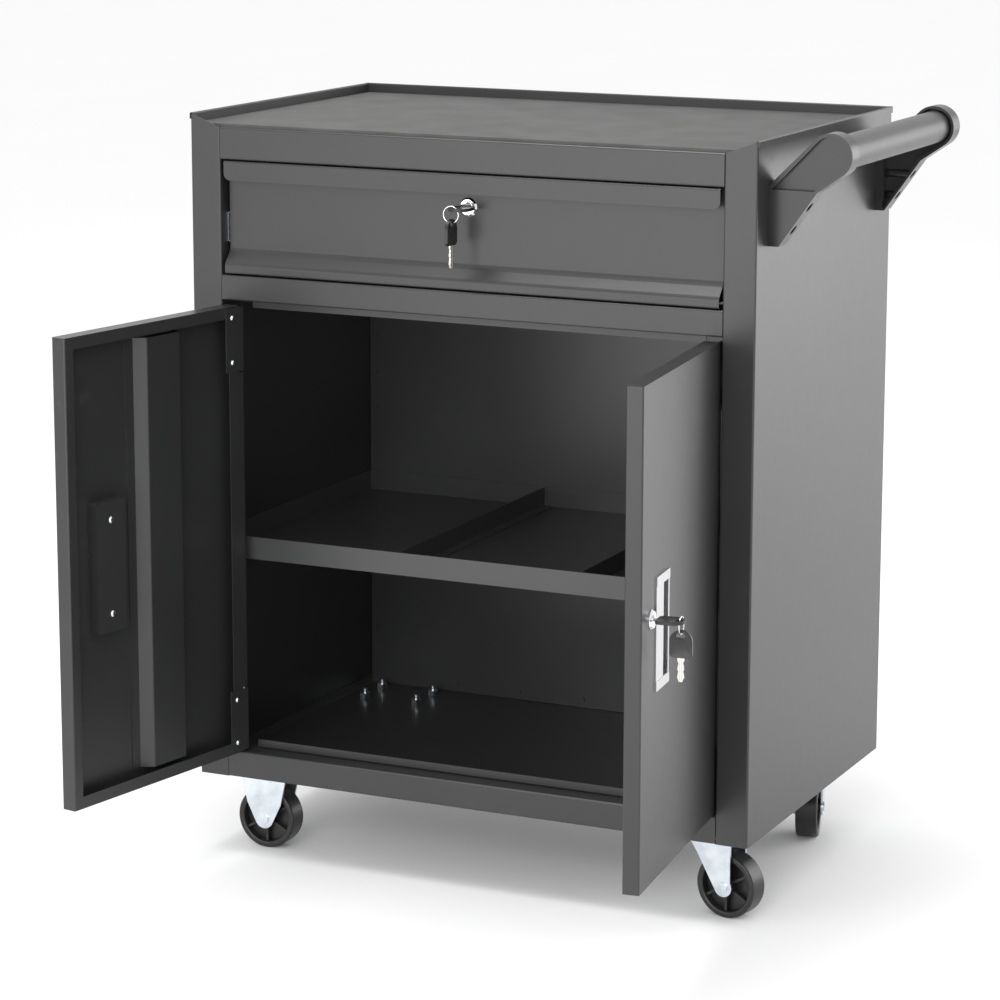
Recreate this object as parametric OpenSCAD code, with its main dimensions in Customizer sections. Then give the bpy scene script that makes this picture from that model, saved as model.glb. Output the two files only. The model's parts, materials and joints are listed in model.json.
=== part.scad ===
// Rolling tool cart: a folded sheet steel cabinet with a tray top, one drawer, a pair of doors,
// a shelf, a side push handle, two rigid and two swivel casters. Millimetres.
// X is the width, Y runs from the front to the back and Z is up.
// The origin is the centre of the mat that lies in the tray top, so the floor is below zero.

/* [Cabinet] */
// Width over the side walls
cabinet_w = 711; // [600:1:860]
// Depth from the posts' front face to the back
cabinet_d = 450; // [380:1:560]
// Height from the bottom edge to the tray top
cabinet_h = 787; // [700:1:920]
// Thickness of the steel sheet
sheet = 1.2; // [0.9:0.1:1.6]
// Outside radius of the bends
bend_r = 2; // [1.8:0.1:3]
// Width of the front posts
post_w = 39; // [32:1:50]
// Depth of the fold behind each post
post_return = 50; // [46:1:60]
// Width of the fold at the rear corners
rear_flange = 20; // [14:1:30]

/* [Tray top] */
// Height of the lip above the tray
lip_h = 15.4; // [12:0.2:24]
// Height of the hem folded over the outside
hem_h = 7.6; // [6:0.2:10]
// Height of the apron over the drawer
apron_h = 37.7; // [30:0.5:50]
// Thickness of the mat
mat_t = 3.8; // [2:0.2:6]
// Gap between the mat and the lips
mat_gap = 1.6; // [1:0.2:6]

/* [Rails and stops] */
// Height of the drawer opening
drawer_open_h = 136.2; // [110:0.5:180]
// Height of the rail between the drawer and the doors
mid_rail_h = 29.9; // [24:0.5:40]
// Height of the rail under the doors
bottom_rail_h = 32.7; // [28:0.5:45]
// Depth of the two rails
rail_d = 36; // [30:1:42]
// Height that the door stops stand over the rails
stop_h = 10.8; // [8:0.2:14]
// Height of the floor pan over the bottom edge
floor_lift = 3.3; // [3:0.1:8]

/* [Shelf] */
// Height of the shelf over the bottom edge
shelf_lift = 266.5; // [200:1:340]
// Height of the shelf's lips
shelf_lip = 27; // [20:1:40]
// Place of the left divider
divider_left = -102; // [-200:1:-60]
// Place of the right divider
divider_right = 133; // [60:1:200]

/* [Doors] */
// Thickness of the doors
door_t = 19; // [17.5:0.5:21]
// Gap under the doors
door_gap_low = 1.3; // [1:0.1:4]
// Gap over the doors
door_gap_top = 5.4; // [4:0.2:8]
// Gap between the two doors
door_gap_mid = 3; // [2:0.5:5]
// Angle at which the left door stands open
left_open = 100; // [0:1:104]
// Angle at which the right door stands open
right_open = 96.5; // [0:0.5:104]
// Hinge axis behind the front face
hinge_back = 7.5; // [6.5:0.1:8]
// Hinge axis inside the opening's edge
hinge_in = 10; // [9.5:0.5:14]
// Height of the hinges
hinge_h = 76; // [60:1:90]
// Radius of the hinge knuckles
knuckle_r = 3.6; // [3:0.1:4]

/* [Pulls and locks] */
// Height of the flush pulls
pull_h = 124; // [100:1:150]
// Width of the flush pulls
pull_w = 49; // [40:1:56]
// Radius of the lock heads
lock_r = 11; // [10:0.5:13]
// Radius of the lock barrels
barrel_r = 9; // [8:0.5:9.5]
// Radius of the key rings
ring_r = 9.4; // [8:0.2:12]

/* [Drawer] */
// Space between the drawer box and the back
drawer_clear = 25.3; // [15:0.1:60]
// Height of the drawer box
drawer_h = 96; // [60:1:110]
// Setback of the drawer's front panel behind its lip
panel_back = 13.5; // [11:0.5:18]
// Height of the pull lip
pull_lip = 23; // [18:0.5:28]
// Width of one slide
slide_w = 12.7; // [12.5:0.1:14]
// Height of one slide
slide_h = 35; // [30:1:45]

/* [Handle] */
// Radius of the handle tube
tube_r = 19; // [15:0.5:21]
// Reach of the tube's centre from the side wall
handle_reach = 71.5; // [60:0.5:90]
// Height of the tube's centre over the bottom edge
handle_lift = 785.5; // [740:0.5:820]
// Thickness of the brackets
bracket_t = 24; // [20:1:30]
// Distance from the cabinet's front and back to the brackets
bracket_inset = 34; // [30:1:60]

/* [Casters] */
// Distance from the cabinet's bottom edge to the floor
caster_drop = 98; // [90:1:130]
// Radius of the wheels
wheel_r = 38.1; // [30:0.1:42]
// Width of the wheels
wheel_w = 27; // [22:0.5:32]
// Distance from the cabinet's sides to the caster centres
caster_in_x = 67.5; // [60:0.5:90]
// Distance from the front and back to the caster centres
caster_in_y = 52; // [48:1:80]
// Bolt spacing across the cart
bolt_x = 75; // [60:1:80]
// Bolt spacing from front to back
bolt_y = 49; // [40:1:54]
// Trail of the swivel casters
trail = 31; // [24:0.5:36]
// Direction in which the front swivel caster trails
front_yaw = -10; // [-180:1:180]
// Direction in which the rear swivel caster trails
rear_yaw = -75; // [-180:1:180]

/* [Hidden] */
$fn = 48;

bend_steps = 3;
eps = 0.01;
half_w = cabinet_w / 2;
open_w = half_w - post_w;
bottom_z = -mat_t - cabinet_h;
floor_z = bottom_z - caster_drop;
pan_z = -mat_t;
rim_z = pan_z + lip_h;
hem_z = rim_z - hem_h;
apron_z = pan_z - apron_h;
mid_top = apron_z - drawer_open_h;
mid_low = mid_top - mid_rail_h;
ledge_z = bottom_z + bottom_rail_h;
floor_top = bottom_z + floor_lift + sheet;
fold_clear = 0.6;
fit_gap = 0.5;
back_in = cabinet_d - 2 * sheet;
apron_return = 28;
rail_lip = 15;

door_low = ledge_z + door_gap_low;
door_top = mid_low - door_gap_top;
door_len = open_w - hinge_in - door_gap_mid / 2;
door_front = 1 - hinge_back;
door_back = door_front + door_t;
door_heel = -3.8;
stop_y = hinge_back + door_back + 3;
hinge_zs = [door_low + 2, door_top - 2 - hinge_h];
leaf_t = 1.5;
leaf_gap = 0.3;
leaf_w = 29;
return_w = 14;
hinge_return_w = 26;
hole_r = 2.1;

pull_mid = door_len - 74.5;
pull_z = bottom_z + 305;
lock_u = door_len - 34;
lock_z = bottom_z + 325.6;
cover_w = 47;
cover_h = 152;
cover_lift = 14.8;
cover_screw = 54.8;
recess_d = 12;
pull_rim = 3.4;
pin_r = 1.6;
pin_fit = 0.06;
pin_end = 0.8;
leaf_screw_y = 28.5;
leaf_screw_u = 18;
leaf_screw_ks = [0.15, 0.85];
leaf_hole_r = 1.7;

drawer_lock_z = pan_z - 78;
plug_r = 6;
plug_fit = 0.05;
bow_len = 24;
bow_t = 4;
hole_out = bow_len + 7;
wire_r = 0.75;
spare_drop = 1.6;

drawer_low = mid_top + 5;
drawer_half = open_w - slide_w;
front_half = open_w - 4.5;
front_low = mid_top + 1.7;
front_top = apron_z - 1.5;
slide_z = drawer_low + 50;
slide_y = panel_back + sheet + 2;
slide_len = cabinet_d - slide_y - 33.3;
drawer_d = cabinet_d - drawer_clear - panel_back - sheet;

wheel_z = floor_z + wheel_r;
plate_t = 2.5;
plate_top = bottom_z + floor_lift;
plate_z = plate_top - plate_t;
leg_t = 2.2;
leg_y = wheel_w / 2 + 2.5;
axle_r = 4;
race_h = 4;
fork_top = plate_z - race_h - 0.3;
fork_t = 2.6;
bolt_r = 4;
bolt_slack = 0.3;
head_h = 3;
nut_h = 6.5;
caster_x = half_w - caster_in_x;
caster_ys = [caster_in_y, cabinet_d - caster_in_y];

foot_low = bottom_z + handle_lift - 102.5;
foot_high = foot_low + 67;
foot_w = 12.5;
knee = [handle_reach - 15, foot_high - 5];
bracket_end = [handle_reach, bottom_z + handle_lift];
end_r = tube_r + 6;
rim_t = 3;
socket_d = 13;
tube_wall = 1.5;
pad_t = 4;
screw_lifts = [18, 44];
handle_screw_r = 2.5;
bracket_ys = [bracket_inset + bracket_t / 2, cabinet_d - bracket_inset - bracket_t / 2];

black = [0.13, 0.13, 0.14];
dark = [0.09, 0.09, 0.10];
mat_grey = [0.42, 0.42, 0.41];
chrome = [0.85, 0.86, 0.88];
zinc = [0.80, 0.84, 0.88];
plastic = [0.08, 0.08, 0.08];
tube_grey = [0.45, 0.45, 0.46];

// Moves what is drawn from the front face so that the middle of the mat is the origin
module from_front() translate([0, -cabinet_d / 2, 0]) children();

// ---- Helpers for folded sheet ----

function unit(v) = v / norm(v);
function left_of(v) = [-v.y, v.x];
function corner_r(r, i) = is_list(r) ? r[i - 1] : r;

// Points of the arc with radius r that rounds the corner b between a and c
function corner_arc(a, b, c, r) =
    let (
        u = unit(a - b),
        w = unit(c - b),
        half = acos(u * w) / 2,
        centre = b + unit(u + w) * r / sin(half),
        first = b + u * r / tan(half) - centre,
        start = atan2(first.y, first.x),
        turn = (2 * half - 180) * sign(u.x * w.y - u.y * w.x)
    )
    [for (k = [0:bend_steps]) centre + r * [cos(start + turn * k / bend_steps),
        sin(start + turn * k / bend_steps)]];

// An open path with its inner corners rounded
function rounded(path, r) = [
    path[0],
    for (i = [1:len(path) - 2]) each corner_arc(path[i - 1], path[i], path[i + 1], corner_r(r, i)),
    path[len(path) - 1]
];

// The path moved sideways by d, to the left of its direction
function beside(path, d) = [
    for (i = [0:len(path) - 1])
        let (
            last = len(path) - 1,
            n1 = left_of(unit(path[max(i, 1)] - path[max(i, 1) - 1])),
            n2 = left_of(unit(path[min(i, last - 1) + 1] - path[min(i, last - 1)]))
        )
        path[i] + (n1 + n2) * d / (1 + n1 * n2)
];

function backwards(list) = [for (i = [len(list) - 1:-1:0]) list[i]];

// Section of a bent strip: t is its thickness to the left of the path, negative for the right
module strip(path, r = bend_r, t = sheet) {
    face = rounded(path, r);
    polygon(concat(face, backwards(beside(face, t))));
}

// Extrudes a Y-Z section along X, centred
module along_x(width) rotate([90, 0, 90]) linear_extrude(width, center = true) children();

// Extrudes an X-Z section along Y from y0 to y1
module along_y(y0, y1) translate([0, y1, 0]) rotate([90, 0, 0]) linear_extrude(y1 - y0) children();

module both_sides() {
    children();
    mirror([1, 0, 0]) children();
}

module box(low, high) translate(low) cube(high - low);

// Rectangle from low to high with true arcs at its corners
module round_rect(low, high, r) {
    translate(low + [r, 0]) square(high - low - [2 * r, 0]);
    translate(low + [0, r]) square(high - low - [0, 2 * r]);
    for (x = [low.x + r, high.x - r], y = [low.y + r, high.y - r]) translate([x, y]) circle(r);
}

// ---- Cabinet shell ----

// The left side: rear fold, wall, post and the fold behind the post in one sheet
module side_sheet() {
    wall_top = rim_z - sheet - fold_clear;
    difference() {
        translate([0, 0, bottom_z])
            linear_extrude(wall_top - bottom_z)
                strip([[rear_flange - half_w, cabinet_d], [-half_w, cabinet_d], [-half_w, 0],
                    [-open_w, 0], [-open_w, post_return]]);
        along_y(-eps, sheet + eps)
            polygon([[-half_w + sheet, wall_top], [-open_w, pan_z], [eps - open_w, pan_z],
                [eps - open_w, rim_z], [-half_w + sheet, rim_z]]);
        box([sheet - half_w, sheet, pan_z - sheet], [1 - open_w, post_return + 1, rim_z]);
        box([-half_w - 1, cabinet_d - sheet, hem_z], [rear_flange + 1 - half_w, cabinet_d + 1, rim_z]);
        box([-open_w - sheet - eps, rail_lip + 1, bottom_z - 1], [1 - open_w, post_return + 1, floor_top]);
        translate([hinge_in - open_w, hinge_back, 0]) for (z = hinge_zs) translate([0, 0, z])
            post_screw_places() cylinder(h = 6, r = leaf_hole_r, center = true);
    }
}

module left_side() from_front() color(black) side_sheet();

module right_side() from_front() color(black) difference() {
    mirror([1, 0, 0]) side_sheet();
    handle_screw_places() cylinder(h = 12, r = handle_screw_r + 0.2, center = true);
}

module back_panel() from_front() color(black) {
    side = half_w - sheet - 1;
    box([-side, back_in, floor_top + 1], [side, back_in + sheet, pan_z - sheet - fold_clear]);
    box([1 - open_w, back_in, pan_z - 2 * sheet], [open_w - 1, back_in + sheet,
        rim_z - sheet - fold_clear]);
}

module floor_pan() from_front() color(black) difference() {
    wall = half_w - sheet;
    low = bottom_z + floor_lift;
    union() {
        along_y(rail_lip + 1, back_in - fit_gap)
            strip([[-wall, low + 12], [-wall, low], [wall, low], [wall, low + 12]]);
        along_x(2 * (half_w - rear_flange - 1))
            strip([[cabinet_d / 2, low], [cabinet_d, low], [cabinet_d, low + 30]]);
    }
    caster_bolt_places() translate([0, 0, low - 1]) cylinder(h = 4, r = bolt_r + bolt_slack);
}

module bottom_rail() from_front() color(black)
    along_x(2 * open_w)
        strip([[rail_lip, bottom_z], [0, bottom_z], [0, ledge_z], [rail_d, ledge_z],
            [rail_d, floor_top]], bend_r, -sheet);

module mid_rail() from_front() color(black)
    along_x(2 * open_w)
        strip([[rail_d, mid_low], [0, mid_low], [0, mid_top], [rail_d - 8, mid_top]], bend_r, -sheet);

// Angles that the doors close against, welded to the rails
module door_stops() from_front() color(black) {
    reach = open_w - 28;
    along_x(2 * reach)
        strip([[rail_d, ledge_z], [stop_y, ledge_z], [stop_y, ledge_z + stop_h]], bend_r, -sheet);
    along_x(2 * reach)
        strip([[rail_d, mid_low], [stop_y, mid_low], [stop_y, mid_low - stop_h]], bend_r, sheet);
}

// ---- Tray top ----

// One sheet: apron, tray, raised lips, and hems folded over the side and back walls
module top_pan() from_front() color(black) {
    lip_y = back_in - sheet;
    lip_x = half_w - 2 * sheet;
    hem_r = 1.4 * sheet;
    rear = [[lip_y, pan_z], [lip_y, rim_z], [cabinet_d, rim_z], [cabinet_d, hem_z]];
    side = [[-lip_x, pan_z], [-lip_x, rim_z], [-half_w - sheet, rim_z], [-half_w - sheet, hem_z]];
    along_x(2 * open_w)
        strip(concat([[apron_return, apron_z], [0, apron_z], [0, pan_z]], rear),
            [bend_r, bend_r, 1, hem_r, hem_r], -sheet);
    along_x(2 * (lip_x + sheet / 2))
        strip(concat([[sheet, pan_z]], rear), [1, hem_r, hem_r], -sheet);
    along_x(2 * (half_w + sheet))
        strip([[cabinet_d - sheet - hem_r, rim_z], [cabinet_d, rim_z], [cabinet_d, hem_z]],
            hem_r, -sheet);
    both_sides() {
        along_y(sheet, cabinet_d - sheet) strip(concat([[-open_w, pan_z]], side), [1, hem_r, hem_r]);
        along_y(0, sheet + eps)
            strip([[-lip_x - sheet, rim_z], [-half_w - sheet, rim_z], [-half_w - sheet, hem_z]], hem_r);
    }
}

module top_mat() from_front() color(mat_grey)
    translate([0, 0, pan_z])
        linear_extrude(mat_t)
            round_rect([2 * sheet + mat_gap - half_w, 3], [half_w - 2 * sheet - mat_gap,
                back_in - sheet - mat_gap], 2);

// ---- Shelf ----

// Plan of the shelf, notched around the folds behind the posts
module shelf_plan() {
    side = half_w - sheet - fit_gap;
    nose = open_w - fit_gap;
    step = post_return + fit_gap;
    back = back_in - fit_gap;
    front = stop_y + 2.5;
    polygon([[-nose, front], [nose, front], [nose, step], [side, step], [side, back],
        [-side, back], [-side, step], [-nose, step]]);
}

module shelf() from_front() color(black) {
    shelf_z = bottom_z + shelf_lift;
    front = stop_y + 2.5 + sheet;
    difference() {
        translate([0, 0, shelf_z]) linear_extrude(shelf_lip) shelf_plan();
        translate([0, 0, shelf_z + sheet]) linear_extrude(shelf_lip) offset(delta = -sheet) shelf_plan();
    }
    box([sheet + 1 - open_w, front - eps, shelf_z + shelf_lip - 8],
        [open_w - sheet - 1, front + sheet, shelf_z + shelf_lip]);
}

module shelf_dividers() from_front() color(black) {
    low = bottom_z + shelf_lift + sheet;
    for (x = [divider_left, divider_right])
        along_y(stop_y + 2.5 + 2 * sheet, back_in - fit_gap - sheet)
            strip([[x + 14, low], [x, low], [x, low + shelf_lip - 2 * sheet]], 1.8, -sheet);
}

// Rivets along the foot and the edges of the back panel
module rivets() from_front() color(dark) {
    foot_step = 91;
    for (i = [-2.5:2.5]) rivet([foot_step * i, back_in, bottom_z + 15]);
    both_sides()
        for (k = [0.1, 0.4, 0.48, 0.54, 0.6, 0.9])
            rivet([rear_flange / 2 + sheet - half_w, back_in, bottom_z + cabinet_h * k]);
}

module rivet(place) translate(place) rotate([90, 0, 0]) cylinder(h = 1.4, r1 = 2.6, r2 = 1.8, $fn = 24);

// ---- Handle ----

function touch(p, c, r, s) =
    let (d = c - p, a = atan2(d.y, d.x) + s * asin(r / norm(d)), reach = sqrt(d * d - r * r))
    p + reach * [cos(a), sin(a)];

// Side view of a bracket drawn inwards by a margin, with x counted from the side wall
module bracket_outline(margin = 0) {
    r = end_r - margin;
    low = knee + [-margin * 0.6, margin * 0.8];
    high = [margin * 1.2, foot_high - margin];
    polygon([[margin, foot_low + margin], [foot_w - margin * 0.4, foot_low + margin], low,
        touch(low, bracket_end, r, -1), touch(high, bracket_end, r, 1), high]);
    translate(bracket_end) circle(r);
}

module handle_screw_places()
    for (y = bracket_ys, lift = screw_lifts)
        translate([half_w, y, foot_low + lift]) rotate([0, 90, 0]) children();

// A hollow bracket: a rim around a web, a teardrop pocket outside and a deep recess inside
module bracket() difference() {
    along_y(-bracket_t / 2, bracket_t / 2) bracket_outline();
    along_y(-bracket_t, 6 - bracket_t / 2) intersection() {
        bracket_outline(rim_t + 0.5);
        translate([0, foot_high - 4]) square(2 * handle_reach + end_r);
    }
    along_y(bracket_t / 2 - socket_d, bracket_t) intersection() {
        bracket_outline(rim_t);
        translate([foot_w - 2, foot_low]) square(3 * handle_reach);
    }
    for (lift = screw_lifts) translate([0, 0, foot_low + lift]) rotate([0, 90, 0]) {
        translate([0, 0, pad_t]) cylinder(h = 80, r = 5);
        translate([0, 0, -1]) cylinder(h = 10, r = handle_screw_r + 0.2);
    }
}

module handle_brackets() from_front() color(plastic) {
    translate([half_w, bracket_ys[0], 0]) bracket();
    translate([half_w, bracket_ys[1], 0]) mirror([0, 1, 0]) bracket();
}

module handle_tube() from_front() color(tube_grey)
    translate([half_w + bracket_end.x, 0, bracket_end.y])
        rotate([-90, 0, 0])
            translate([0, 0, bracket_ys[0] + bracket_t / 2 - socket_d])
                difference() {
                    length = bracket_ys[1] - bracket_ys[0] - bracket_t + 2 * socket_d;
                    cylinder(h = length, r = tube_r);
                    translate([0, 0, -1]) cylinder(h = length + 2, r = tube_r - tube_wall);
                }

module handle_screws() from_front() color(dark) handle_screw_places() {
    translate([0, 0, -sheet - 3]) cylinder(h = sheet + 3 + pad_t + eps, r = handle_screw_r);
    translate([0, 0, pad_t]) cylinder(h = 2.6, r = 4.4);
}

// ---- Drawer ----

module slide_section(web, tip, half)
    strip([[tip, half], [web, half], [web, -half], [tip, -half]], 1.6, web > tip ? -1.2 : 1.2);

module slide_pair(web, tip, half, length)
    both_sides()
        translate([0, 0, slide_z])
            along_y(slide_y, slide_y + length) slide_section(web, tip, half);

module slide_outer_members() from_front() color(zinc)
    slide_pair(open_w, open_w - 9, slide_h / 2, slide_len);

module slide_middle_members() from_front() color(zinc)
    slide_pair(open_w - 2.4, open_w - 10.6, slide_h / 2 - 2.2, slide_len - 8);

module slide_inner_members() from_front() color(zinc)
    slide_pair(drawer_half, open_w - 4.8, slide_h / 2 - 4.4, slide_len - 12);

// Cranked plates that carry the rear ends of the slides from the side walls
module slide_brackets() from_front() color(black) both_sides() {
    rear = slide_y + slide_len - 20;
    translate([0, 0, slide_z - 25])
        linear_extrude(50)
            strip([[open_w, rear - 40], [open_w, rear], [half_w - 2 * sheet, rear],
                [half_w - 2 * sheet, rear + 25]], bend_r, -sheet);
}

// Drawer tray with rolled side edges
module drawer_box() from_front() color(black) {
    front = panel_back + sheet;
    high = drawer_low + drawer_h;
    difference() {
        box([-drawer_half, front, drawer_low], [drawer_half, front + drawer_d, high]);
        box([sheet - drawer_half, front + sheet, drawer_low + sheet],
            [drawer_half - sheet, front + drawer_d - sheet, high + 1]);
        drawer_lock_place() translate([0, 0, -30]) cylinder(h = 60, r = barrel_r + 4);
    }
    both_sides() box([drawer_half - 2 * sheet, front + 20, high - 8],
        [drawer_half - sheet + eps, front + drawer_d - 20, high]);
}

module drawer_lock_place() translate([0, panel_back, drawer_lock_z]) rotate([-90, 0, 0]) children();

// One sheet: bottom fold, coved foot, flat panel and the pull lip hanging in front of it
module drawer_front() from_front() color(black) difference() {
    foot = front_low + 11;
    along_x(2 * front_half)
        strip([[26, front_low], [0, front_low], [0, foot], [panel_back, foot + 16],
            [panel_back, front_top - sheet], [sheet, front_top - sheet],
            [sheet, front_top - pull_lip]], [bend_r, 8, 14, 1, 1], -sheet);
    drawer_lock_place() translate([0, 0, -2]) cylinder(h = 8, r = barrel_r + 0.2);
    both_sides() lip_corner();
}

// What is cut off the lower corner of the pull lip to round it
module lip_corner() {
    r = 8;
    low = front_top - pull_lip;
    along_y(-1, sheet + 1) difference() {
        translate([front_half - r, low - 1]) square([r + 1, r + 1]);
        translate([front_half - r, low + r]) circle(r);
    }
}

// ---- Locks and keys: local Z points into the lock, local Y is up ----

module lock_body() color(chrome) difference() {
    union() {
        translate([0, 0, -3.4]) cylinder(h = 2, r1 = lock_r - 2, r2 = lock_r);
        translate([0, 0, -1.4]) cylinder(h = 1.4, r = lock_r);
        cylinder(h = 19, r = barrel_r);
    }
    translate([0, 0, -5]) cylinder(h = 30, r = plug_r + plug_fit);
}

// The turning plug and its cam, with a slot for the key
module lock_plug(cam_len, cam_angle) color(chrome) {
    difference() {
        translate([0, 0, -3.9]) cylinder(h = 24, r = plug_r);
        translate([0, 0, -4]) linear_extrude(18) square([7.6, 2.4], center = true);
    }
    rotate([0, 0, cam_angle]) translate([0, 0, 20.1]) linear_extrude(2) {
        translate([0, -6]) square([cam_len - 6, 12]);
        circle(8);
        translate([cam_len - 6, 0]) circle(6);
    }
}

// Flat key around its ring hole: u runs from the hole to the tip
module key_outline() {
    translate([6.5, 0]) circle(12.5);
    translate([6.5, -12.5]) square([14.5, 25]);
    polygon([[21, -12.5], [bow_len, -9], [bow_len, 9], [21, 12.5]]);
}

module key_blank(blade) {
    linear_extrude(bow_t, center = true) difference() {
        key_outline();
        circle(2.9, $fn = 24);
        for (v = [-2, 2]) translate([0, v]) circle(2.9, $fn = 24);
    }
    linear_extrude(2, center = true) {
        translate([bow_len - 1, -3.6]) square([blade - 2.5, 7.2]);
        translate([20.5 + blade, 0]) circle(3.6, $fn = 24);
    }
}

// Key in the lock: the bow lies level, in front of the plug
module lock_key() color(plastic) rotate([0, -90, 0]) rotate([90, 0, 0])
    translate([-hole_out, 0, 0]) key_blank(17);

module ring_shape(side) color(chrome)
    translate([0, 0, -hole_out])
        translate(ring_centre(side)) rotate_extrude() translate([ring_r, 0]) circle(wire_r, $fn = 16);

function ring_centre(side) = ring_r * [side * 0.8, -0.6, 0];

// Spare key hanging on the lowest point of the ring
module spare_shape(side) color(plastic)
    translate(ring_centre(side) + [0, -ring_r - spare_drop, -hole_out])
        rotate([0, 0, -90]) rotate([90, 0, 0]) key_blank(26);

module drawer_lock_face()
    translate([0, panel_back, drawer_lock_z]) rotate([-90, 0, 0]) mirror([0, 1, 0]) children();

module drawer_lock_body() from_front() drawer_lock_face() lock_body();
module drawer_lock_plug() from_front() drawer_lock_face() lock_plug(46, 0);
module drawer_key() from_front() drawer_lock_face() lock_key();
module drawer_key_ring() from_front() drawer_lock_face() ring_shape(-1);
module drawer_spare_key() from_front() drawer_lock_face() spare_shape(-1);

// ---- Doors: drawn closed around the hinge axis, reaching along +X ----

module on_left_door() translate([hinge_in - open_w, hinge_back, 0]) rotate([0, 0, -left_open]) children();

module on_right_door() translate([open_w - hinge_in, hinge_back, 0]) rotate([0, 0, right_open])
    mirror([1, 0, 0]) children();

// A shallow pan with folds turned in all round its open back
module door_shell() difference() {
    translate([0, 0, door_low]) linear_extrude(door_top - door_low)
        round_rect([door_heel, door_front], [door_len, door_back], bend_r);
    translate([0, 0, door_low + sheet]) linear_extrude(door_top - door_low - 2 * sheet)
        round_rect([door_heel + sheet, door_front + sheet], [door_len - sheet, door_back - sheet],
            bend_r - sheet);
    box([door_heel + hinge_return_w, door_back - 2 * sheet, door_low + return_w],
        [door_len - return_w, door_back + 1, door_top - return_w]);
    for (z = hinge_zs)
        box([door_heel - 1, door_front + sheet + 1, z - 2], [knuckle_r + 1.6, door_back + 1,
            z + hinge_h + 2]);
    for (z = hinge_zs) translate([0, 0, z])
        leaf_screw_places() cylinder(h = 6, r = leaf_hole_r, center = true);
    box([pull_mid - pull_w / 2 + 3, door_front - 1, pull_z - pull_h / 2 + 3],
        [pull_mid + pull_w / 2 - 3, door_front + 3, pull_z + pull_h / 2 - 3]);
}

// Hat section welded up the middle of the door
module stiffener() color(black)
    translate([0, 0, door_low + return_w + 4])
        linear_extrude(door_top - door_low - 2 * return_w - 8) {
            foot = door_front + sheet;
            strip([[88, foot], [103, foot], [107, foot + 13], [163, foot + 13], [173, foot],
                [187, foot]], 1.8);
        }

// Flush pull: a face plate with a finger slot into a hollow tray, and thicker end caps
module pull() color(chrome) {
    side = pull_w / 2;
    end = pull_h / 2;
    translate([pull_mid, 0, pull_z]) difference() {
        union() {
            box([-side, door_front - 1.6, -end], [side, door_front, end]);
            box([pull_rim - side, door_front - eps, pull_rim - end],
                [side - pull_rim, door_front + recess_d + sheet, end - pull_rim]);
            for (s = [-1, 1]) translate([0, 0, s * (end - 5.2)])
                box([-side, door_front - 2.2, -5.2], [side, door_front - 1, 5.2]);
        }
        box([4.6 - side, door_front - 3, 11 - end], [22 - side, door_front + recess_d, end - 11]);
        box([4.6 - side, door_front + 0.6, 11 - end], [side - 4.6, door_front + recess_d, end - 11]);
        for (s = [-1, 1]) translate([0, door_front + recess_d - 2, s * cover_screw])
            rotate([-90, 0, 0]) cylinder(h = 9, r = hole_r);
    }
}

// Pressed cover over the back of the pull
module pull_cover() color(black)
    translate([pull_mid, 0, pull_z]) difference() {
        foot = door_front + sheet;
        corner = [cover_w, cover_h] / 2;
        inner = corner - [sheet, sheet];
        along_y(foot, foot + cover_lift) round_rect(-corner, corner, 2);
        along_y(foot - 1, foot + cover_lift - sheet) round_rect(-inner, inner, 1);
        for (s = [-1, 1]) translate([0, foot, s * cover_screw])
            rotate([-90, 0, 0]) cylinder(h = 2 * cover_lift, r = hole_r);
    }

// Screws of the pull cover and of the two hinge leaves
module door_screws() color(zinc) {
    for (s = [-1, 1])
        translate([pull_mid, door_front + sheet + cover_lift, pull_z + s * cover_screw])
            rotate([90, 0, 0]) screw(2, 5);
    for (z = hinge_zs) translate([0, leaf_t, z]) leaf_screw_places() screw(1.6, 3);
}

// Screw seen from its point: the head stands on the face behind
module screw(r, length) {
    cylinder(h = length, r = r, $fn = 24);
    translate([0, 0, -1.6]) cylinder(h = 1.6, r1 = r * 1.3, r2 = r * 2, $fn = 24);
}

module left_door() from_front() color(black) on_left_door() door_shell();
module left_stiffener() from_front() on_left_door() stiffener();
module left_pull() from_front() on_left_door() pull();
module left_pull_cover() from_front() on_left_door() pull_cover();
module left_door_screws() from_front() on_left_door() door_screws();

module right_door() from_front() color(black) on_right_door() difference() {
    door_shell();
    door_lock_face() translate([0, 0, -2]) cylinder(h = 5, r = barrel_r + 0.2);
}
module right_stiffener() from_front() on_right_door() stiffener();
module right_pull() from_front() on_right_door() pull();
module right_pull_cover() from_front() on_right_door() pull_cover();
module right_door_screws() from_front() on_right_door() door_screws();

module door_lock_face()
    translate([lock_u, door_front, lock_z]) rotate([-90, 0, 0]) mirror([0, 1, 0]) children();

module door_lock_body() from_front() on_right_door() door_lock_face() lock_body();
module door_lock_plug() from_front() on_right_door() door_lock_face() lock_plug(50, -90);
module door_key() from_front() on_right_door() door_lock_face() lock_key();
module door_key_ring() from_front() on_right_door() door_lock_face() ring_shape(-1);
module door_spare_key() from_front() on_right_door() door_lock_face() spare_shape(-1);

// ---- Hinges: three knuckles, the middle one on the door ----

// Screws through the post's fold and through the door's fold, counted from a hinge's foot
module post_screw_places() for (k = leaf_screw_ks)
    translate([-hinge_in, leaf_screw_y, hinge_h * k]) rotate([0, -90, 0]) children();

module leaf_screw_places() for (k = leaf_screw_ks)
    translate([leaf_screw_u, door_back, hinge_h * k]) rotate([90, 0, 0]) children();

// Knuckle k of three with a clearance at its ends
module knuckle(k) {
    third = hinge_h / 3;
    translate([0, 0, k * third + leaf_gap / 2])
        difference() {
            cylinder(h = third - leaf_gap, r = knuckle_r);
            translate([0, 0, -1]) cylinder(h = third + 2, r = pin_r + pin_fit);
        }
}

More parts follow.
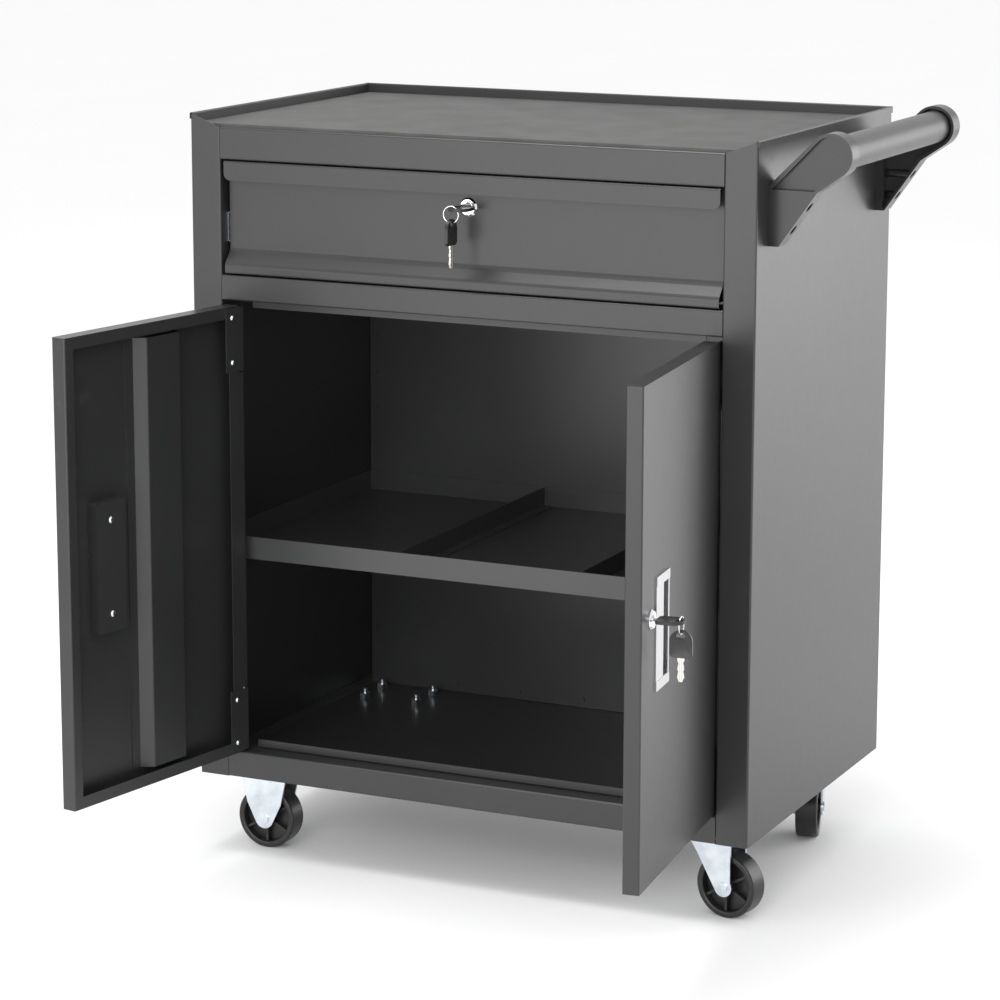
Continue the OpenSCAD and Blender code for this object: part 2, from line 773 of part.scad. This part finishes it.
module cut_knuckles(ks) for (k = ks)
    box([-knuckle_r - 1, -knuckle_r - 1, k * hinge_h / 3 - leaf_gap / 2],
        [knuckle_r + 1, knuckle_r + 6, (k + 1) * hinge_h / 3 + leaf_gap / 2]);

// Leaf on the fold behind the post, cranked out to the axis: drawn for the left door
module post_leaf() {
    difference() {
        linear_extrude(hinge_h) {
            wall = -hinge_in;
            strip([[wall, 34.5], [wall, 2.5 + hinge_in], [0.2, 2.3]], 1.6, leaf_t);
        }
        cut_knuckles([1]);
        post_screw_places() cylinder(h = 6, r = leaf_hole_r, center = true);
        translate([0, 0, -1]) cylinder(h = hinge_h + 2, r = knuckle_r - 0.2);
    }
    for (k = [0, 2]) knuckle(k);
}

// Leaf that wraps round the edge of the door and lies on its inner fold
module door_leaf() {
    difference() {
        linear_extrude(hinge_h)
            strip([[leaf_w, door_back + leaf_t], [-knuckle_r, door_back + leaf_t], [-knuckle_r, 0.5]],
                bend_r, leaf_t);
        cut_knuckles([0, 2]);
        leaf_screw_places() cylinder(h = 6, r = leaf_hole_r, center = true);
        translate([0, 0, -1]) cylinder(h = hinge_h + 2, r = knuckle_r - 0.2);
    }
    knuckle(1);
}

module post_axes() {
    translate([hinge_in - open_w, hinge_back, 0]) children();
    translate([open_w - hinge_in, hinge_back, 0]) mirror([1, 0, 0]) children();
}

module at_hinges() for (z = hinge_zs) translate([0, 0, z]) children();

module hinge_post_leaves() from_front() color(dark) post_axes() at_hinges() post_leaf();

module hinge_pins() from_front() color(zinc) post_axes() at_hinges()
    translate([0, 0, -pin_end]) cylinder(h = hinge_h + 2 * pin_end, r = pin_r);

module post_hinge_screws() from_front() color(zinc) post_axes() at_hinges()
    translate([leaf_t, 0, 0]) post_screw_places() screw(1.6, 3);

module left_hinge_leaves() from_front() color(dark) on_left_door() at_hinges() door_leaf();
module right_hinge_leaves() from_front() color(dark) on_right_door() at_hinges() door_leaf();

// ---- Casters ----

module caster_places(sides) for (x = sides, y = caster_ys) translate([x * caster_x, y, 0]) children();

module bolt_square()
    for (x = [-1, 1] * bolt_x / 2, y = [-1, 1] * bolt_y / 2) translate([x, y, 0]) children();

module caster_bolt_places() caster_places([-1, 1]) bolt_square() children();

module plate() translate([0, 0, plate_z]) linear_extrude(plate_t) difference() {
    round_rect([-bolt_x / 2 - 10, -bolt_y / 2 - 9], [bolt_x / 2 + 10, bolt_y / 2 + 9], 5);
    bolt_square() circle(bolt_r + bolt_slack);
}

// Side view of a rigid leg, pointed down around the axle
module rigid_leg() {
    top = plate_z - wheel_z;
    p = [32, top];
    q = [23, 19];
    polygon([p, q, touch(q, [0, 0], 12.3, 1), touch([-q.x, q.y], [0, 0], 12.3, -1), [-q.x, q.y],
        [-p.x, p.y]]);
    circle(12.3);
}

module rigid_forks() from_front() color(zinc) caster_places([-1]) {
    plate();
    difference() {
        for (s = [-1, 1]) translate([0, s * (leg_y + leg_t / 2), wheel_z])
            along_y(-leg_t / 2, leg_t / 2) rigid_leg();
        axle_hole();
    }
}

module axle_hole()
    translate([0, 0, wheel_z]) rotate([90, 0, 0]) cylinder(h = 2 * wheel_r, r = axle_r, center = true);

module axle() color(zinc) translate([0, 0, wheel_z]) rotate([90, 0, 0]) {
    span = 2 * (leg_y + leg_t);
    cylinder(h = span, r = axle_r, center = true);
    for (s = [-1, 1]) translate([0, 0, s * (span / 2 + 0.8)]) cylinder(h = 1.6, r = 6, center = true);
}

// Wheel: tread, rim, thin web with ribs and a hub around the axle
module wheel() color(plastic) translate([0, 0, wheel_z]) rotate([90, 0, 0]) difference() {
    union() {
        rotate_extrude($fn = 96) {
            round_rect([wheel_r - 8, -wheel_w / 2], [wheel_r, wheel_w / 2], 2.6);
            translate([9, -3]) square([wheel_r - 16, 6]);
            translate([axle_r + 0.06, -leg_y + 0.5]) square([6, 2 * leg_y - 1]);
        }
        for (a = [30:60:330]) rotate([0, 0, a])
            translate([9, -1.5, 3 - wheel_w / 2]) cube([wheel_r - 16, 3, wheel_w - 6]);
    }
    cylinder(h = 80, r = axle_r + 0.06, center = true);
}

function yaw_of(i) = i == 0 ? front_yaw : rear_yaw;

module swivel_place(i) translate([caster_x, caster_ys[i], 0]) rotate([0, 0, yaw_of(i)]) children();

module swivel_plates() from_front() color(zinc) caster_places([1]) difference() {
    union() {
        plate();
        translate([0, 0, plate_z - race_h]) cylinder(h = race_h + eps, r1 = 20, r2 = 22);
    }
    translate([0, 0, plate_z - 10]) cylinder(h = 30, r = 6);
}

module kingpins() from_front() color(zinc) caster_places([1]) {
    translate([0, 0, fork_top - fork_t - 0.3]) cylinder(h = plate_top - fork_top + fork_t + 0.3, r = 6);
    translate([0, 0, fork_top - fork_t - 2.3]) cylinder(h = 2, r = 9);
}

// Side view of a swivel leg around the axle: the pivot is at -trail
module swivel_leg() {
    top = fork_top - wheel_z;
    r = 11.5;
    low = [-trail - 4, top - 20];
    polygon([[-trail - 18, top], low, touch(low, [0, 0], r - 0.1, -1), [9.6, 0], [9.6, top]]);
    circle(r);
}

module swivel_fork() color(zinc) difference() {
    union() {
        translate([trail, 0, wheel_z])
            for (s = [-1, 1])
                translate([0, s * (leg_y + leg_t / 2), 0]) along_y(-leg_t / 2, leg_t / 2) swivel_leg();
        translate([0, 0, fork_top - fork_t]) linear_extrude(fork_t) {
            circle(24);
            translate([-18, -leg_y - leg_t]) square([trail + 27.6, 2 * (leg_y + leg_t)]);
        }
    }
    translate([0, 0, fork_top - 10]) cylinder(h = 20, r = 6.06);
    translate([trail, 0, 0]) axle_hole();
}

module front_swivel_fork() from_front() swivel_place(0) swivel_fork();
module rear_swivel_fork() from_front() swivel_place(1) swivel_fork();
module front_swivel_axle() from_front() swivel_place(0) translate([trail, 0, 0]) axle();
module rear_swivel_axle() from_front() swivel_place(1) translate([trail, 0, 0]) axle();
module rigid_axles() from_front() caster_places([-1]) axle();
module front_left_wheel() from_front() translate([-caster_x, caster_ys[0], 0]) wheel();
module rear_left_wheel() from_front() translate([-caster_x, caster_ys[1], 0]) wheel();
module front_right_wheel() from_front() swivel_place(0) translate([trail, 0, 0]) wheel();
module rear_right_wheel() from_front() swivel_place(1) translate([trail, 0, 0]) wheel();

module caster_bolts() from_front() color(zinc) caster_bolt_places() {
    translate([0, 0, plate_z - eps]) cylinder(h = 16, r = bolt_r);
    translate([0, 0, plate_z - head_h]) cylinder(h = head_h, r = 6.5);
}

module caster_nuts() from_front() color(zinc)
    caster_bolt_places() translate([0, 0, floor_top]) difference() {
        cylinder(h = nut_h, r = 7.5, $fn = 6);
        translate([0, 0, -1]) cylinder(h = nut_h + 2, r = bolt_r);
    }

left_side();
right_side();
back_panel();
floor_pan();
bottom_rail();
mid_rail();
door_stops();
top_pan();
top_mat();
shelf();
shelf_dividers();
rivets();
slide_outer_members();
slide_brackets();
hinge_post_leaves();
hinge_pins();
post_hinge_screws();
handle_brackets();
handle_tube();
handle_screws();
rigid_forks();
rigid_axles();
swivel_plates();
kingpins();
caster_bolts();
caster_nuts();
slide_middle_members();
slide_inner_members();
drawer_box();
drawer_front();
drawer_lock_body();
drawer_lock_plug();
drawer_key();
drawer_key_ring();
drawer_spare_key();
left_door();
left_stiffener();
left_pull();
left_pull_cover();
left_hinge_leaves();
left_door_screws();
right_door();
right_stiffener();
right_pull();
right_pull_cover();
right_hinge_leaves();
right_door_screws();
door_lock_body();
door_lock_plug();
door_key();
door_key_ring();
door_spare_key();
front_swivel_fork();
rear_swivel_fork();
front_swivel_axle();
rear_swivel_axle();
front_left_wheel();
rear_left_wheel();
front_right_wheel();
rear_right_wheel();
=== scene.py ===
"""Looks of the rolling tool cart: paint, zinc, chrome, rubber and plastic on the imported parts, and the
keys, which this script makes in place of the plain ones."""

import json
import math

import bmesh
import bpy
from mathutils import Matrix, Vector


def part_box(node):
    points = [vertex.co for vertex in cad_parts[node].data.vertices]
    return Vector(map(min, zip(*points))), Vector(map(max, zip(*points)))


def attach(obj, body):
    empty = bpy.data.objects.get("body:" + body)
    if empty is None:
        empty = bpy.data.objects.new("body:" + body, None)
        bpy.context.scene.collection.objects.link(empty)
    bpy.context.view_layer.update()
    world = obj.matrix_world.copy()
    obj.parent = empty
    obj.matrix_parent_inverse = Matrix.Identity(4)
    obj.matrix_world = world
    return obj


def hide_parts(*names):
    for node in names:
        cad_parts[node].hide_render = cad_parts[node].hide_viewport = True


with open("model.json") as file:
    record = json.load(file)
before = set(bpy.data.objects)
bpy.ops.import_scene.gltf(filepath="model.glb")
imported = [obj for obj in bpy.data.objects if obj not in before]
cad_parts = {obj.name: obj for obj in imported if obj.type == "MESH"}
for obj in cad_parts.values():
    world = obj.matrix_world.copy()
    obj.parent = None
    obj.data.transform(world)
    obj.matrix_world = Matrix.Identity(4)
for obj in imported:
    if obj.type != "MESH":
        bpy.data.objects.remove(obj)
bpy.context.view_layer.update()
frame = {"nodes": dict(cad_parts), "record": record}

MM = 0.001

# ---- Places on the cart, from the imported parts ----

BEHAVIOUR = frame["record"]["behaviour"]
JOINTS = {joint["name"]: joint for joint in BEHAVIOUR["joints"]}


def joint_place(name):
    """Where a joint's axis passes, in metres."""
    return Vector(JOINTS[name]["pos_m"])


def joint_axis(name):
    """A joint's axis as a unit vector."""
    return Vector(JOINTS[name]["axis"]).normalized()


RIGHT_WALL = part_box("right_side")[1].x
BOTTOM_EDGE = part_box("left_side")[0].z
FLOOR_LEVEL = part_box("front_left_wheel")[0].z


# ---- Shader arithmetic ----

class Signal:
    """A shader value that takes part in Python arithmetic by adding Math nodes."""

    def __init__(self, finish, socket):
        self.finish = finish
        self.socket = socket

    def math(self, operation, first, second=0.0):
        node = self.finish.add("ShaderNodeMath", {"operation": operation}, {0: first, 1: second})
        return Signal(self.finish, node.outputs[0])

    def __add__(self, other):
        return self.math("ADD", self, other)

    def __radd__(self, other):
        return self.math("ADD", other, self)

    def __sub__(self, other):
        return self.math("SUBTRACT", self, other)

    def __rsub__(self, other):
        return self.math("SUBTRACT", other, self)

    def __mul__(self, other):
        return self.math("MULTIPLY", self, other)

    def __rmul__(self, other):
        return self.math("MULTIPLY", other, self)

    def __abs__(self):
        return self.math("ABSOLUTE", self)

    def at_most(self, other):
        return self.math("MINIMUM", self, other)

    def rising(self, start, end):
        """0 below start, 1 above end, smooth in between."""
        node = self.finish.add("ShaderNodeMapRange", {"interpolation_type": "SMOOTHSTEP"},
                               {"Value": self, "From Min": start, "From Max": end})
        return Signal(self.finish, node.outputs[0])


class Finish:
    """One material: its shader and the nodes that vary it over the surface."""

    def __init__(self, name, **constants):
        self.material = bpy.data.materials.new(name)
        self.material.use_nodes = True
        self.nodes = self.material.node_tree.nodes
        self.links = self.material.node_tree.links
        self.shader = self.nodes["Principled BSDF"]
        for socket, value in constants.items():
            self.shader.inputs[socket.replace("_", " ")].default_value = value
        self.place = self.add("ShaderNodeTexCoord").outputs["Object"]
        split = self.add("ShaderNodeSeparateXYZ", {}, {0: self.place})
        self.x, self.y, self.z = (Signal(self, split.outputs[i]) for i in range(3))

    def add(self, kind, settings=None, values=None):
        """Adds a node: its settings first, then the values or links of its sockets."""
        node = self.nodes.new(kind)
        for key, value in (settings or {}).items():
            setattr(node, key, value)
        for key, value in (values or {}).items():
            self.feed(node.inputs[key], value)
        return node

    def feed(self, socket, value):
        """Sets a socket, or links it when the value comes from another node."""
        if isinstance(value, Signal):
            value = value.socket
        if isinstance(value, bpy.types.NodeSocket):
            self.links.new(value, socket)
        else:
            socket.default_value = value

    def set(self, **values):
        """Feeds what varies over the surface to the shader."""
        for socket, value in values.items():
            self.feed(self.shader.inputs[socket.replace("_", " ")], value)

    def noise(self, size, detail=3.0, roughness=0.5, stretch=(1, 1, 1)):
        """Noise whose features are about size metres across, pulled out along some axes."""
        where = self.add("ShaderNodeMapping", {}, {"Vector": self.place, "Scale": stretch})
        node = self.add("ShaderNodeTexNoise", {}, {"Vector": where.outputs[0], "Scale": 1 / size,
                                                   "Detail": detail, "Roughness": roughness})
        return Signal(self, node.outputs[0])

    def mix(self, factor, first, second):
        """Mixes two colours."""
        node = self.add("ShaderNodeMix", {"data_type": "RGBA"}, {"Factor": factor})
        self.feed(node.inputs[6], first)
        self.feed(node.inputs[7], second)
        return node.outputs[2]

    def bump(self, height, distance, strength=1.0, below=None):
        """A Bump node's normal; heights are 0 to 1 and distance is in metres."""
        values = {"Height": height, "Distance": distance, "Strength": strength}
        if below is not None:
            values["Normal"] = below
        return self.add("ShaderNodeBump", {}, values).outputs[0]


def grey(level, warm=0.0):
    """A nearly neutral colour."""
    return (level * (1 + warm), level, level * (1 - warm), 1.0)


# ---- Finishes ----

def powder_coat(name, tint, roughness, peel):
    """Black powder coat: orange peel, faint cloudiness, and rubbed edges and foot painted lighter, partly
    as wear and partly as a painted edge highlight.
    """
    finish = Finish(name, Metallic=0.0, IOR=1.52)
    cloud = finish.noise(0.16, 4.0)
    dust = finish.noise(0.012, 5.0, 0.62)
    rub = finish.noise(0.02, 6.0, 0.7)
    corner = (abs(finish.x) - (RIGHT_WALL - 0.0022)).rising(0.0, 0.0016)
    foot = 1 - (finish.z - BOTTOM_EDGE).rising(0.0, 0.012)
    # Lighter near the outer side faces and along the bottom edge: partly wear, partly a painted highlight
    # along the folds.
    wear_and_edge_highlight = (corner * 0.5 + foot).at_most(1.0) * rub.rising(0.58, 0.68)
    body = finish.mix(cloud.rising(0.3, 0.7), grey(tint * 0.94), grey(tint * 1.07, -0.02))
    finish.set(Base_Color=finish.mix(wear_and_edge_highlight * 0.35, body, grey(0.09)),
               Roughness=roughness + (cloud - 0.5) * 0.05 + (dust - 0.5) * 0.05 + wear_and_edge_highlight * 0.1,
               Normal=finish.bump(finish.noise(0.0011, 2.0), peel * MM,
                                  below=finish.bump(finish.noise(0.06, 2.0), 0.02 * MM)))
    return finish.material


def rubber_mat():
    """Grey foam rubber: fine pits, mottling and a few pale scuffs."""
    finish = Finish("mat_rubber", Metallic=0.0, IOR=1.45)
    mottle = finish.noise(0.07, 6.0, 0.6)
    grain = finish.noise(0.0016, 3.0, 0.6)
    scuff = finish.noise(0.03, 5.0, 0.65, (1, 4, 1))
    body = finish.mix(mottle.rising(0.25, 0.75), grey(0.048, 0.02), grey(0.072, 0.02))
    finish.set(Base_Color=finish.mix(scuff.rising(0.62, 0.8) * 0.3, body, grey(0.1, 0.01)),
               Roughness=0.72 + (grain - 0.5) * 0.2,
               Normal=finish.bump(grain, 0.12 * MM, below=finish.bump(mottle, 0.2 * MM)))
    return finish.material


def zinc_plate():
    """Bright zinc: bluish, faintly rolled, with dull patches."""
    finish = Finish("zinc_plate", Metallic=1.0, IOR=1.5)
    patch = finish.noise(0.018, 4.0)
    rolled = finish.noise(0.0012, 2.0, 0.5, (1, 1, 0.15))
    dull, bright = (0.58, 0.63, 0.68, 1), (0.74, 0.78, 0.82, 1)
    finish.set(Base_Color=finish.mix(patch.rising(0.3, 0.7), dull, bright),
               Roughness=0.3 + (patch - 0.5) * 0.16 + (rolled - 0.5) * 0.08,
               Normal=finish.bump(rolled, 0.02 * MM))
    return finish.material


def polished(name, colour, roughness):
    """Bright metal with fine wiping marks."""
    finish = Finish(name, Metallic=1.0)
    wipe = finish.noise(0.004, 4.0, 0.6, (1, 1, 0.3))
    wiped, clear = [c * 0.93 for c in colour] + [1], list(colour) + [1]
    finish.set(Base_Color=finish.mix(wipe.rising(0.3, 0.7), wiped, clear),
               Roughness=roughness + (wipe - 0.5) * 0.06,
               Normal=finish.bump(wipe, 0.01 * MM))
    return finish.material


def moulded(name, tint, roughness, grain):
    """Moulded black plastic with a fine spark texture."""
    finish = Finish(name, Metallic=0.0, IOR=1.48)
    flow = finish.noise(0.03, 3.0)
    spark = finish.noise(0.0009, 3.0, 0.6)
    finish.set(Base_Color=finish.mix(flow.rising(0.3, 0.7), grey(tint * 0.85), grey(tint * 1.2)),
               Roughness=roughness + (flow - 0.5) * 0.1 + (spark - 0.5) * 0.06,
               Normal=finish.bump(spark, grain * MM))
    return finish.material


def wheel_plastic():
    """Black wheels: moulded sides, a duller and dustier tread."""
    finish = Finish("wheel_plastic", Metallic=0.0, IOR=1.48)
    dust = finish.noise(0.008, 5.0, 0.65)
    spark = finish.noise(0.0008, 2.0)
    low = 1 - (finish.z - FLOOR_LEVEL).rising(0.0, 0.07)
    dusty = dust.rising(0.45, 0.8) * 0.1 + low * 0.03
    finish.set(Base_Color=finish.mix(dusty, grey(0.009), grey(0.07, 0.03)),
               Roughness=0.36 + (dust - 0.5) * 0.16,
               Normal=finish.bump(spark, 0.02 * MM))
    return finish.material


SHEET = powder_coat("powder_coat", 0.024, 0.35, 0.012)
# The inside parts get a lighter copy of the same black coat: painted light standing in for the light that
# reaches the inside.
INNER_PAINTED_LIGHTER = powder_coat("powder_coat_inner_painted_lighter", 0.042, 0.3, 0.01)
MAT = rubber_mat()
ZINC = zinc_plate()
CHROME = polished("chrome", (0.8, 0.81, 0.83), 0.1)
NICKEL = polished("nickel", (0.62, 0.6, 0.56), 0.2)
ALUMINIUM = polished("satin_aluminium", (0.6, 0.6, 0.61), 0.26)
BRACKET = moulded("bracket_plastic", 0.014, 0.3, 0.014)
BOW = moulded("key_plastic", 0.016, 0.36, 0.01)
TUBE = powder_coat("tube_coat", 0.05, 0.42, 0.006)
WHEEL = wheel_plastic()
# A near-black finish for the handle screws: painted shade of the recesses they sit in.
RECESS_SHADE_BLACK = moulded("recess_painted_shade", 0.006, 0.6, 0.01)

FINISH_OF = {
    "top_mat": MAT, "handle_tube": TUBE, "handle_brackets": BRACKET, "handle_screws": RECESS_SHADE_BLACK,
    "rigid_forks": ZINC, "rigid_axles": ZINC, "swivel_plates": ZINC, "kingpins": ZINC, "caster_bolts": ZINC,
    "caster_nuts": ZINC, "front_swivel_fork": ZINC, "rear_swivel_fork": ZINC, "front_swivel_axle": ZINC,
    "rear_swivel_axle": ZINC, "hinge_pins": ZINC, "post_hinge_screws": ZINC, "left_door_screws": ZINC,
    "right_door_screws": ZINC, "slide_outer_members": ZINC, "slide_middle_members": ZINC,
    "slide_inner_members": ZINC, "left_pull": ALUMINIUM, "right_pull": ALUMINIUM,
    "drawer_lock_body": CHROME, "drawer_lock_plug": CHROME, "door_lock_body": CHROME,
    "door_lock_plug": CHROME, "drawer_key_ring": CHROME, "door_key_ring": CHROME,
    "drawer_key": BOW, "door_key": BOW, "drawer_spare_key": BOW, "door_spare_key": BOW,
    "front_left_wheel": WHEEL, "rear_left_wheel": WHEEL, "front_right_wheel": WHEEL,
    "rear_right_wheel": WHEEL,
    "back_panel": INNER_PAINTED_LIGHTER, "shelf": INNER_PAINTED_LIGHTER, "shelf_dividers": INNER_PAINTED_LIGHTER, "floor_pan": INNER_PAINTED_LIGHTER, "rivets": INNER_PAINTED_LIGHTER,
}

for name, part in frame["nodes"].items():
    finish = FINISH_OF.get(name, SHEET)
    for holder in part.material_slots:
        holder.material = finish


# ---- Making pieces ----

def piece(name, shape, body, finish, smooth=40):
    """Turns a bmesh into a piece that rides on a body."""
    bmesh.ops.recalc_face_normals(shape, faces=shape.faces)
    mesh = bpy.data.meshes.new(name)
    shape.to_mesh(mesh)
    shape.free()
    mesh.materials.append(finish)
    mesh.shade_smooth()
    mesh.set_sharp_from_angle(angle=math.radians(smooth))
    thing = bpy.data.objects.new(name, mesh)
    bpy.context.scene.collection.objects.link(thing)
    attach(thing, body)
    return thing


# ---- Keys ----

BOW_R = 12.5 * MM
BOW_T = 4 * MM
BOW_MIDDLE = 6.5 * MM
BOW_SHOULDER = 21 * MM
BOW_FOOT = 24 * MM
BOW_EDGE = 0.35 * MM
RIM = 1.3 * MM
PANEL_DEPTH = 0.5 * MM
FOOT_HALF = 9 * MM
HOLE_R = 2.9 * MM
HOLE_SHIFT = 2 * MM
BLADE_START = 20.5 * MM
BLADE_HALF = 3.6 * MM
BLADE_T = 2 * MM
TIP_SLOPE = 1.1 * MM
GROOVE_INSET = 0.25 * MM
GROOVE_DEPTH = 0.35 * MM
LOCK_BLADE = 17 * MM
SPARE_BLADE = 26 * MM
CUT_DEPTHS = (0.0, 0.9, 0.3, 1.2, 0.6, 0.2, 1.0, 0.5)
SPARE_DROP = 11 * MM


def arc(shape, start, centre, turn, steps):
    """Spins a vertex about a centre and returns the arc's first and last vertex."""
    first = shape.verts.new(start)
    swept = bmesh.ops.spin(shape, geom=[first], cent=centre, axis=(0, 0, 1), angle=math.radians(turn),
                           steps=steps, use_duplicate=False)
    last = [item for item in swept["geom_last"] if isinstance(item, bmesh.types.BMVert)][0]
    return first, last


def join(shape, *vertices):
    """Joins vertices one after another with edges."""
    for near, far in zip(vertices, vertices[1:]):
        shape.edges.new((near, far))


def thicken(shape, thickness):
    """Turns flat faces into a plate centred on their plane; returns the faces of both sides."""
    low = list(shape.faces)
    made = bmesh.ops.extrude_face_region(shape, geom=low)
    high = [item for item in made["geom"] if isinstance(item, bmesh.types.BMFace)]
    lifted = [item for item in made["geom"] if isinstance(item, bmesh.types.BMVert)]
    bmesh.ops.translate(shape, verts=shape.verts, vec=(0, 0, -thickness / 2))
    bmesh.ops.translate(shape, verts=lifted, vec=(0, 0, thickness))
    bmesh.ops.recalc_face_normals(shape, faces=shape.faces)
    return low, high


def key_bow():
    """The plastic head: a rounded outline with a slotted hole and a sunk panel on each side."""
    shape = bmesh.new()
    top, bottom = arc(shape, (BOW_MIDDLE, BOW_R, 0), (BOW_MIDDLE, 0, 0), 180, 20)
    corners = [shape.verts.new(place) for place in (
        (BOW_SHOULDER, -BOW_R, 0), (BOW_FOOT, -FOOT_HALF, 0),
        (BOW_FOOT, FOOT_HALF, 0), (BOW_SHOULDER, BOW_R, 0))]
    join(shape, bottom, *corners, top)
    near, far = arc(shape, (HOLE_R, HOLE_SHIFT, 0), (0, HOLE_SHIFT, 0), 180, 8)
    other_near, other_far = arc(shape, (-HOLE_R, -HOLE_SHIFT, 0), (0, -HOLE_SHIFT, 0), 180, 8)
    join(shape, far, other_near)
    join(shape, other_far, near)
    bmesh.ops.triangle_fill(shape, use_beauty=True, use_dissolve=False, edges=shape.edges)
    sides = thicken(shape, BOW_T)
    for side in sides:
        bmesh.ops.inset_region(shape, faces=side, thickness=RIM, depth=-PANEL_DEPTH, use_even_offset=True,
                               use_boundary=True)
    return shape


def key_blade(length):
    """The flat steel blade: cut on both edges, round at the tip, with a groove along each side."""
    shape = bmesh.new()
    end = BLADE_START + length + BLADE_HALF
    steps = 2 * len(CUT_DEPTHS) + 4
    bmesh.ops.create_grid(shape, x_segments=steps, y_segments=3, size=0.5,
                          matrix=Matrix.Translation(((BLADE_START + end) / 2, 0, 0))
                          @ Matrix.Diagonal((end - BLADE_START, 2 * BLADE_HALF, 1, 1)))
    for vertex in shape.verts:
        if abs(vertex.co.y) < BLADE_HALF * 0.9:
            continue
        step = round((vertex.co.x - BLADE_START) / (end - BLADE_START) * steps)
        depth = CUT_DEPTHS[step // 2 % len(CUT_DEPTHS)] * MM if 4 < step < steps - 1 else 0
        if step >= steps - 1:
            depth = TIP_SLOPE * (step - steps + 2)
        vertex.co.y -= math.copysign(depth, vertex.co.y)
    low, high = thicken(shape, BLADE_T)
    for side in (low, high):
        middle_strip = [face for face in side if abs(face.calc_center_median().y) < BLADE_HALF * 0.3]
        bmesh.ops.inset_region(shape, faces=middle_strip, thickness=GROOVE_INSET, depth=-GROOVE_DEPTH)
    return shape


def key(node, body, hole, ahead, across, blade_length):
    """Puts a key with its ring hole at a place, pointing ahead, with its head wide across."""
    up = ahead.cross(across)
    turn = Matrix((ahead, across, up)).transposed().to_4x4()
    place = Matrix.Translation(hole) @ turn
    for shape, part_name, finish, slot_name in ((key_bow(), "bow", BOW, "black_plastic"),
                                                (key_blade(blade_length), "blade", NICKEL, "zinc")):
        bmesh.ops.transform(shape, matrix=place, verts=shape.verts)
        made = piece(f"{node}_{part_name}", shape, body, finish, 35)
        if part_name == "bow":
            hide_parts(node)
            soften = made.modifiers.new("edge", "BEVEL")
            soften.width = BOW_EDGE
            soften.segments = 2
            soften.limit_method = "ANGLE"
            soften.angle_limit = math.radians(50)


def keys():
    """Each lock's own key stands level in the plug; the spare hangs from the ring."""
    for lock in ("drawer", "door"):
        ahead = -joint_axis("door_lock_turn") if lock == "door" else joint_axis("drawer_lock_turn")
        across = Vector((0, 0, 1)).cross(ahead)
        hole = joint_place(f"{lock}_ring_swing")
        key(f"{lock}_key", f"{lock}_plug", hole, ahead, across, LOCK_BLADE)
        hanging = joint_place(f"{lock}_spare_slide") - Vector((0, 0, SPARE_DROP))
        key(f"{lock}_spare_key", f"{lock}_spare", hanging, Vector((0, 0, -1)), ahead, SPARE_BLADE)


# ---- Floor, light and camera ----

FLOOR_HALF = 30
CAMERA_PLACE = (1.6502, -3.6226, 0.3892)
CAMERA_ANGLES = (24.23, 11.06, 0.28)
LENS = 120.55
SHIFT = -0.06
SKY = 1.05


def floor():
    """The pale ground under the wheels."""
    shape = bmesh.new()
    bmesh.ops.create_grid(shape, x_segments=1, y_segments=1, size=FLOOR_HALF,
                          matrix=Matrix.Translation((0, 0, FLOOR_LEVEL)))
    mesh = bpy.data.meshes.new("floor")
    shape.to_mesh(mesh)
    shape.free()
    pale = Finish("floor_pale", Roughness=0.9)
    pale.set(Base_Color=pale.mix(pale.noise(0.5), grey(0.9), grey(0.92)))
    mesh.materials.append(pale.material)
    thing = bpy.data.objects.new("floor", mesh)
    bpy.context.scene.collection.objects.link(thing)


def softbox(name, place, target, width, height, power):
    """A soft rectangular light of some watts, aimed at a target."""
    lamp = bpy.data.lights.new(name, "AREA")
    lamp.shape = "RECTANGLE"
    lamp.size = width
    lamp.size_y = height
    lamp.energy = power
    thing = bpy.data.objects.new(name, lamp)
    thing.location = place
    thing.rotation_mode = "QUATERNION"
    thing.rotation_quaternion = (Vector(target) - Vector(place)).to_track_quat("-Z", "Y")
    bpy.context.scene.collection.objects.link(thing)


def studio():
    world = bpy.data.worlds.new("studio")
    world.use_nodes = True
    world.node_tree.nodes["Background"].inputs["Color"].default_value = (1, 1, 1, 1)
    world.node_tree.nodes["Background"].inputs["Strength"].default_value = SKY
    bpy.context.scene.world = world
    bpy.context.scene.view_settings.view_transform = "Standard"
    softbox("front_left", (-0.9, -3.4, -0.3), (0, -0.2, -0.4), 2.0, 1.4, 24)
    softbox("right_rear", (2.6, 2.8, 0.1), (0.3, 0, -0.4), 2.4, 1.8, 50)
    softbox("overhead", (-0.3, -0.4, 2.0), (0, 0, -0.3), 1.2, 1.2, 40)
    softbox("front_fill", (0.8, -4.2, 1.0), (0, 0, -0.45), 2.0, 2.0, 62)


def camera():
    """Seen from the right front, a little above; the angles are turn, tilt down and roll."""
    azimuth, down, roll = (math.radians(a) for a in CAMERA_ANGLES)
    back = Vector((math.sin(azimuth) * math.cos(down), -math.cos(azimuth) * math.cos(down), math.sin(down)))
    level = Vector((math.cos(azimuth), math.sin(azimuth), 0))
    upright = back.cross(level)
    right = level * math.cos(roll) + upright * math.sin(roll)
    up = back.cross(right)
    lens = bpy.data.cameras.new("camera")
    lens.lens = LENS
    lens.sensor_width = 36
    lens.shift_x = SHIFT
    lens.shift_y = SHIFT
    lens.clip_end = 100
    thing = bpy.data.objects.new("camera", lens)
    turn = Matrix((right, up, back)).transposed().to_4x4()
    thing.matrix_world = Matrix.Translation(CAMERA_PLACE) @ turn
    bpy.context.scene.collection.objects.link(thing)
    bpy.context.scene.camera = thing


keys()
floor()
studio()
camera()
